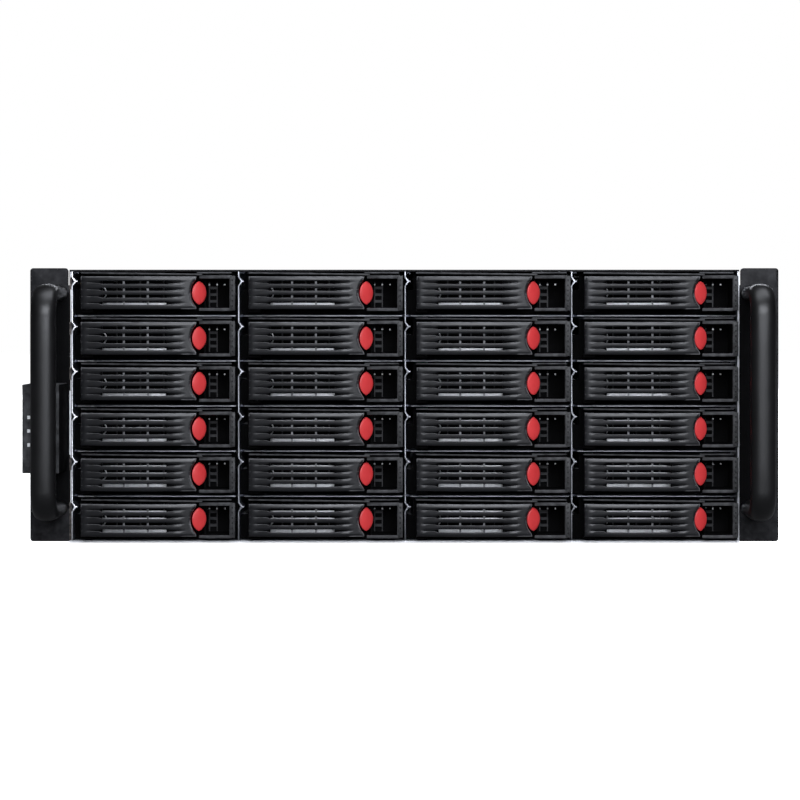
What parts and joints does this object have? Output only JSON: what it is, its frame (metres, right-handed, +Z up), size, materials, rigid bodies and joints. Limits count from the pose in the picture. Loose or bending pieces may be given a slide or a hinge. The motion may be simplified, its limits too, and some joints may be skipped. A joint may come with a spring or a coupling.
{
  "type": "rackmount server chassis",
  "caption": "Deep steel rack chassis with front handles, hot-swap drive trays closed by vented levers with red release keys, an inner fan wall, rear openings and a sliding cover.",
  "frame": {"origin": "underside of the tub, on the chassis' middle plane, in line with the rack posts' front face", "axes": "+X to the right seen from the front, +Y to the rear, +Z up"},
  "size_m": [0.4826, 0.7127, 0.177],
  "materials": {
    "galvanised_sheet": "zinc-coated steel sheet with a faint spangle",
    "black_sheet": "black powder coat with a fine texture",
    "handle_black": "black satin coat",
    "tray_plastic": "black moulded plastic, fine grain",
    "lever_plastic": "dark grey moulded plastic, satin",
    "release_red": "red moulded plastic",
    "circuit_board": "green solder resist on glass laminate",
    "socket_plastic": "black connector plastic",
    "fan_plastic": "black glass-filled plastic",
    "brass": "turned brass",
    "pod_plastic": "black moulded plastic, fine grain",
    "light_lens": "milky clear plastic",
    "button_plastic": "black moulded plastic"
  },
  "bodies": {
    "chassis": {"chassis_tub": "galvanised_sheet", "front_cover": "black_sheet", "cage_walls": "galvanised_sheet", "cage_shelves": "galvanised_sheet", "backplanes": "circuit_board", "backplane_sockets": "socket_plastic", "fan_wall": "galvanised_sheet", "fan_frames": "fan_plastic", "rear_panel": "galvanised_sheet", "slot_covers": "galvanised_sheet", "board_standoffs": "brass", "left_ear": "black_sheet", "right_ear": "black_sheet", "left_handle": "handle_black", "right_handle": "handle_black", "control_pod": "pod_plastic", "pod_lights": "light_lens", "pod_board": "circuit_board"},
    "top_cover": {"top_cover": "black_sheet"},
    "fan_rotor_1": {"fan_rotor_1": "fan_plastic"},
    "fan_rotor_2": {"fan_rotor_2": "fan_plastic"},
    "fan_rotor_3": {"fan_rotor_3": "fan_plastic"},
    "power_button": {"power_button": "button_plastic"},
    "reset_button": {"reset_button": "button_plastic"},
    "tray_r1c1": {"tray_r1c1": "tray_plastic"},
    "tray_r1c2": {"tray_r1c2": "tray_plastic"},
    "tray_r1c3": {"tray_r1c3": "tray_plastic"},
    "tray_r1c4": {"tray_r1c4": "tray_plastic"},
    "tray_r2c1": {"tray_r2c1": "tray_plastic"},
    "tray_r2c2": {"tray_r2c2": "tray_plastic"},
    "tray_r2c3": {"tray_r2c3": "tray_plastic"},
    "tray_r2c4": {"tray_r2c4": "tray_plastic"},
    "tray_r3c1": {"tray_r3c1": "tray_plastic"},
    "tray_r3c2": {"tray_r3c2": "tray_plastic"},
    "tray_r3c3": {"tray_r3c3": "tray_plastic"},
    "tray_r3c4": {"tray_r3c4": "tray_plastic"},
    "tray_r4c1": {"tray_r4c1": "tray_plastic"},
    "tray_r4c2": {"tray_r4c2": "tray_plastic"},
    "tray_r4c3": {"tray_r4c3": "tray_plastic"},
    "tray_r4c4": {"tray_r4c4": "tray_plastic"},
    "tray_r5c1": {"tray_r5c1": "tray_plastic"},
    "tray_r5c2": {"tray_r5c2": "tray_plastic"},
    "tray_r5c3": {"tray_r5c3": "tray_plastic"},
    "tray_r5c4": {"tray_r5c4": "tray_plastic"},
    "tray_r6c1": {"tray_r6c1": "tray_plastic"},
    "tray_r6c2": {"tray_r6c2": "tray_plastic"},
    "tray_r6c3": {"tray_r6c3": "tray_plastic"},
    "tray_r6c4": {"tray_r6c4": "tray_plastic"},
    "lever_r1c1": {"lever_r1c1": "lever_plastic"},
    "release_r1c1": {"release_r1c1": "release_red"},
    "lever_r1c2": {"lever_r1c2": "lever_plastic"},
    "release_r1c2": {"release_r1c2": "release_red"},
    "lever_r1c3": {"lever_r1c3": "lever_plastic"},
    "release_r1c3": {"release_r1c3": "release_red"},
    "lever_r1c4": {"lever_r1c4": "lever_plastic"},
    "release_r1c4": {"release_r1c4": "release_red"}
  },
  "joints": [
    {"name": "lever_r1c1_swing", "type": "hinge", "parent": "tray_r1c1", "child": "lever_r1c1", "pos_m": [-0.2034, -0.007, 0.161], "axis": [0, 0, -1], "range_deg": [0, 80]},
    {"name": "lever_r1c2_swing", "type": "hinge", "parent": "tray_r1c2", "child": "lever_r1c2", "pos_m": [-0.096, -0.007, 0.161], "axis": [0, 0, -1], "range_deg": [0, 80]},
    {"name": "lever_r1c3_swing", "type": "hinge", "parent": "tray_r1c3", "child": "lever_r1c3", "pos_m": [0.0114, -0.007, 0.161], "axis": [0, 0, -1], "range_deg": [0, 80]},
    {"name": "lever_r1c4_swing", "type": "hinge", "parent": "tray_r1c4", "child": "lever_r1c4", "pos_m": [0.1188, -0.007, 0.161], "axis": [0, 0, -1], "range_deg": [0, 80]},
    {"name": "release_r1c1_press", "type": "slide", "parent": "tray_r1c1", "child": "release_r1c1", "axis": [-1, 0, 0], "range_m": [0, 0.0025], "stiffness_N_per_m": 300},
    {"name": "release_r1c2_press", "type": "slide", "parent": "tray_r1c2", "child": "release_r1c2", "axis": [-1, 0, 0], "range_m": [0, 0.0025], "stiffness_N_per_m": 300},
    {"name": "release_r1c3_press", "type": "slide", "parent": "tray_r1c3", "child": "release_r1c3", "axis": [-1, 0, 0], "range_m": [0, 0.0025], "stiffness_N_per_m": 300},
    {"name": "release_r1c4_press", "type": "slide", "parent": "tray_r1c4", "child": "release_r1c4", "axis": [-1, 0, 0], "range_m": [0, 0.0025], "stiffness_N_per_m": 300},
    {"name": "top_cover_slide", "type": "slide", "parent": "chassis", "child": "top_cover", "axis": [0, 1, 0], "range_m": [0, 0.385]},
    {"name": "power_press", "type": "slide", "parent": "chassis", "child": "power_button", "axis": [0, 1, 0], "range_m": [0, 0.001], "stiffness_N_per_m": 400},
    {"name": "reset_press", "type": "slide", "parent": "chassis", "child": "reset_button", "axis": [0, 1, 0], "range_m": [0, 0.001], "stiffness_N_per_m": 400},
    {"name": "fan_1_spin", "type": "hinge", "parent": "chassis", "child": "fan_rotor_1", "pos_m": [-0.1374, 0.275, 0.076], "axis": [0, 1, 0], "continuous": true},
    {"name": "fan_2_spin", "type": "hinge", "parent": "chassis", "child": "fan_rotor_2", "pos_m": [0, 0.275, 0.076], "axis": [0, 1, 0], "continuous": true},
    {"name": "fan_3_spin", "type": "hinge", "parent": "chassis", "child": "fan_rotor_3", "pos_m": [0.1374, 0.275, 0.076], "axis": [0, 1, 0], "continuous": true},
    {"name": "tray_r1c1_slide", "type": "slide", "parent": "chassis", "child": "tray_r1c1", "axis": [0, -1, 0], "range_m": [0, 0.215]},
    {"name": "tray_r1c2_slide", "type": "slide", "parent": "chassis", "child": "tray_r1c2", "axis": [0, -1, 0], "range_m": [0, 0.215]},
    {"name": "tray_r1c3_slide", "type": "slide", "parent": "chassis", "child": "tray_r1c3", "axis": [0, -1, 0], "range_m": [0, 0.215]},
    {"name": "tray_r1c4_slide", "type": "slide", "parent": "chassis", "child": "tray_r1c4", "axis": [0, -1, 0], "range_m": [0, 0.215]},
    {"name": "tray_r2c1_slide", "type": "slide", "parent": "chassis", "child": "tray_r2c1", "axis": [0, -1, 0], "range_m": [0, 0.215]},
    {"name": "tray_r2c2_slide", "type": "slide", "parent": "chassis", "child": "tray_r2c2", "axis": [0, -1, 0], "range_m": [0, 0.215]},
    {"name": "tray_r2c3_slide", "type": "slide", "parent": "chassis", "child": "tray_r2c3", "axis": [0, -1, 0], "range_m": [0, 0.215]},
    {"name": "tray_r2c4_slide", "type": "slide", "parent": "chassis", "child": "tray_r2c4", "axis": [0, -1, 0], "range_m": [0, 0.215]},
    {"name": "tray_r3c1_slide", "type": "slide", "parent": "chassis", "child": "tray_r3c1", "axis": [0, -1, 0], "range_m": [0, 0.215]},
    {"name": "tray_r3c2_slide", "type": "slide", "parent": "chassis", "child": "tray_r3c2", "axis": [0, -1, 0], "range_m": [0, 0.215]},
    {"name": "tray_r3c3_slide", "type": "slide", "parent": "chassis", "child": "tray_r3c3", "axis": [0, -1, 0], "range_m": [0, 0.215]},
    {"name": "tray_r3c4_slide", "type": "slide", "parent": "chassis", "child": "tray_r3c4", "axis": [0, -1, 0], "range_m": [0, 0.215]},
    {"name": "tray_r4c1_slide", "type": "slide", "parent": "chassis", "child": "tray_r4c1", "axis": [0, -1, 0], "range_m": [0, 0.215]},
    {"name": "tray_r4c2_slide", "type": "slide", "parent": "chassis", "child": "tray_r4c2", "axis": [0, -1, 0], "range_m": [0, 0.215]},
    {"name": "tray_r4c3_slide", "type": "slide", "parent": "chassis", "child": "tray_r4c3", "axis": [0, -1, 0], "range_m": [0, 0.215]},
    {"name": "tray_r4c4_slide", "type": "slide", "parent": "chassis", "child": "tray_r4c4", "axis": [0, -1, 0], "range_m": [0, 0.215]},
    {"name": "tray_r5c1_slide", "type": "slide", "parent": "chassis", "child": "tray_r5c1", "axis": [0, -1, 0], "range_m": [0, 0.215]},
    {"name": "tray_r5c2_slide", "type": "slide", "parent": "chassis", "child": "tray_r5c2", "axis": [0, -1, 0], "range_m": [0, 0.215]},
    {"name": "tray_r5c3_slide", "type": "slide", "parent": "chassis", "child": "tray_r5c3", "axis": [0, -1, 0], "range_m": [0, 0.215]},
    {"name": "tray_r5c4_slide", "type": "slide", "parent": "chassis", "child": "tray_r5c4", "axis": [0, -1, 0], "range_m": [0, 0.215]},
    {"name": "tray_r6c1_slide", "type": "slide", "parent": "chassis", "child": "tray_r6c1", "axis": [0, -1, 0], "range_m": [0, 0.215]},
    {"name": "tray_r6c2_slide", "type": "slide", "parent": "chassis", "child": "tray_r6c2", "axis": [0, -1, 0], "range_m": [0, 0.215]},
    {"name": "tray_r6c3_slide", "type": "slide", "parent": "chassis", "child": "tray_r6c3", "axis": [0, -1, 0], "range_m": [0, 0.215]},
    {"name": "tray_r6c4_slide", "type": "slide", "parent": "chassis", "child": "tray_r6c4", "axis": [0, -1, 0], "range_m": [0, 0.215]}
  ]
}
